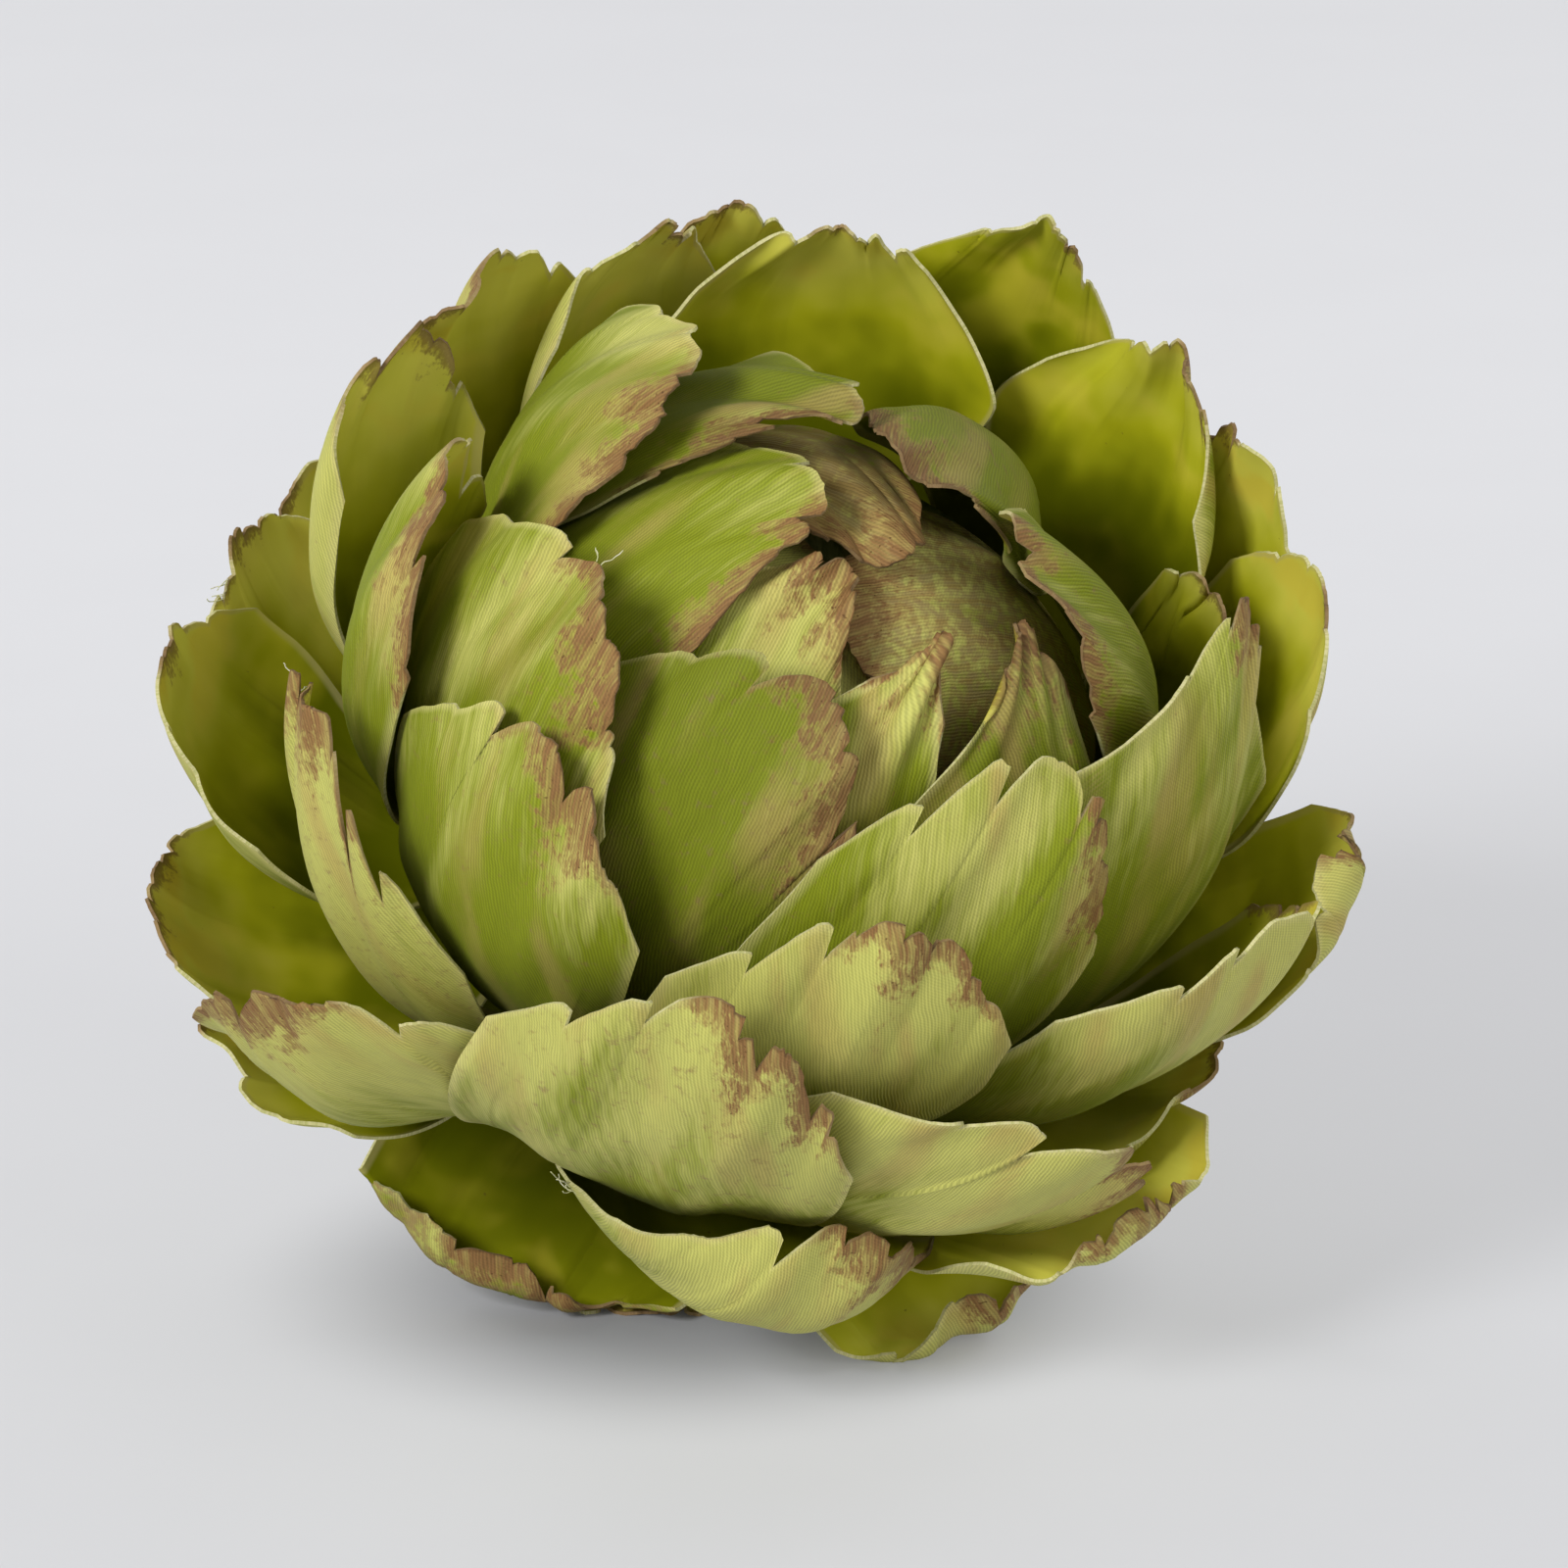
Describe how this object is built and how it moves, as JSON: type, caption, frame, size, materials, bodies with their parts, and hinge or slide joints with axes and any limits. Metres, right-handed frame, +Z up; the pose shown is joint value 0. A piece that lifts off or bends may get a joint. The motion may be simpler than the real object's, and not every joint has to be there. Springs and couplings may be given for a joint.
{
  "type": "artichoke",
  "caption": "Globe artichoke head lying tilted on a surface, its toothed cloth leaves set in overlapping rows round a solid heart with a short cut stem.",
  "frame": {"origin": "middle of the bounding box, at the surface that the head lies on", "axes": "+Z up from the surface, -Y the side that the bud leans to, +X to the right seen from there"},
  "size_m": [0.1234, 0.1181, 0.1159],
  "materials": {
    "leaf_cloth": "matt woven cloth, pale streaked green outside and yellower green inside, tips and cut edges brushed brown",
    "heart": "matt dull green foam"
  },
  "bodies": {
    "root": {"heart": "heart", "leaf_bud_1": "leaf_cloth", "leaf_bud_2": "leaf_cloth", "leaf_bud_3": "leaf_cloth", "leaf_bud_4": "leaf_cloth", "leaf_inner_1": "leaf_cloth", "leaf_inner_2": "leaf_cloth", "leaf_inner_3": "leaf_cloth", "leaf_inner_4": "leaf_cloth", "leaf_inner_5": "leaf_cloth", "leaf_inner_6": "leaf_cloth", "leaf_inner_7": "leaf_cloth", "leaf_middle_1": "leaf_cloth", "leaf_middle_2": "leaf_cloth", "leaf_middle_3": "leaf_cloth", "leaf_middle_4": "leaf_cloth", "leaf_middle_5": "leaf_cloth", "leaf_middle_6": "leaf_cloth", "leaf_middle_7": "leaf_cloth", "leaf_middle_8": "leaf_cloth", "leaf_middle_9": "leaf_cloth", "leaf_middle_10": "leaf_cloth", "leaf_outer_1": "leaf_cloth", "leaf_outer_2": "leaf_cloth", "leaf_outer_3": "leaf_cloth", "leaf_outer_4": "leaf_cloth", "leaf_outer_5": "leaf_cloth", "leaf_outer_6": "leaf_cloth", "leaf_outer_7": "leaf_cloth", "leaf_outer_8": "leaf_cloth", "leaf_outer_9": "leaf_cloth", "leaf_outer_10": "leaf_cloth", "leaf_outer_11": "leaf_cloth", "leaf_outer_12": "leaf_cloth", "leaf_outer_13": "leaf_cloth", "leaf_outer_14": "leaf_cloth", "leaf_outer_15": "leaf_cloth", "leaf_outer_16": "leaf_cloth", "leaf_outer_17": "leaf_cloth", "leaf_outer_18": "leaf_cloth", "leaf_outer_19": "leaf_cloth", "leaf_outer_20": "leaf_cloth", "leaf_outer_21": "leaf_cloth", "leaf_low_1": "leaf_cloth", "leaf_low_2": "leaf_cloth", "leaf_back_1": "leaf_cloth", "leaf_back_2": "leaf_cloth", "leaf_back_3": "leaf_cloth", "leaf_back_4": "leaf_cloth", "leaf_back_5": "leaf_cloth", "leaf_back_6": "leaf_cloth", "leaf_back_7": "leaf_cloth", "leaf_back_8": "leaf_cloth", "leaf_back_9": "leaf_cloth", "leaf_back_10": "leaf_cloth", "leaf_back_11": "leaf_cloth", "leaf_base_1": "leaf_cloth", "leaf_base_2": "leaf_cloth"}
  },
  "joints": []
}
